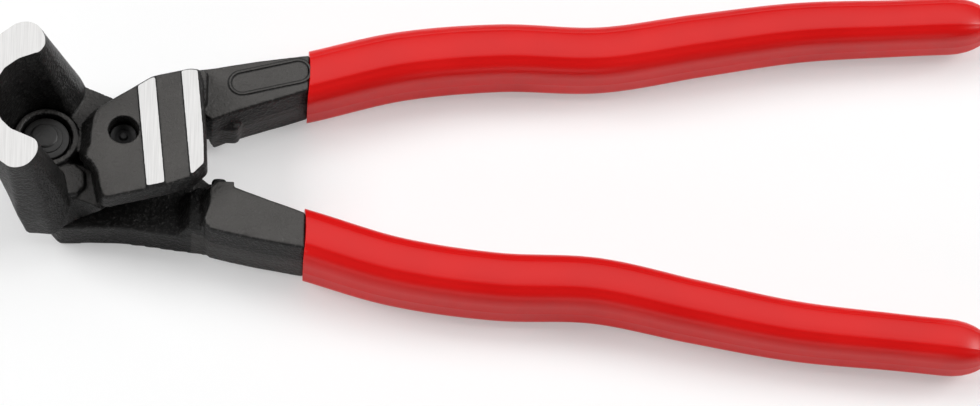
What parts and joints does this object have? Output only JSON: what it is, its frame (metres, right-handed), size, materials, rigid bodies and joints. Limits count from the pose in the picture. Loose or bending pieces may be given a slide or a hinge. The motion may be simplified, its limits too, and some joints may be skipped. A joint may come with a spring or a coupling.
{
  "type": "cutting pliers",
  "caption": "Compound-action end cutters with an angled cutting head, black forged levers and red dipped grips.",
  "frame": {"origin": "centre of the main pivot pin's front face", "axes": "+X along the handles away from the jaws, +Z along the pivots to the front face, +Y towards the upper handle"},
  "size_m": [0.1996, 0.0814, 0.0329],
  "materials": {
    "black_forged_steel": "black atramentized forging, satin, with bright ground faces on the jaws and front plate",
    "blackened_pin_steel": "blackened turned steel, satin",
    "red_dipped_plastic": "smooth dipped plastic, soft gloss"
  },
  "bodies": {
    "upper_lever": {"upper_handle_lever": "black_forged_steel", "upper_grip": "red_dipped_plastic", "main_pivot_pin": "blackened_pin_steel", "fulcrum_pin": "blackened_pin_steel"},
    "lower_lever": {"lower_handle_lever": "black_forged_steel", "lower_grip": "red_dipped_plastic", "link_pin": "blackened_pin_steel"},
    "cutting_jaw": {"upper_jaw": "black_forged_steel"}
  },
  "joints": [
    {"name": "lower_handle_pivot", "type": "hinge", "parent": "upper_lever", "child": "lower_lever", "pos_m": [0.01509, 0.00061, 0], "axis": [0, 0, 1], "range_deg": [-35, 11.5]},
    {"name": "upper_jaw_pivot", "type": "hinge", "parent": "upper_lever", "child": "cutting_jaw", "pos_m": [0, 0, 0], "axis": [0, 0, 1], "range_deg": [-13.1, 4.3]}
  ],
  "couplings": [
    {"joint": "upper_jaw_pivot", "follows": "lower_handle_pivot", "ratio": 0.37344}
  ]
}
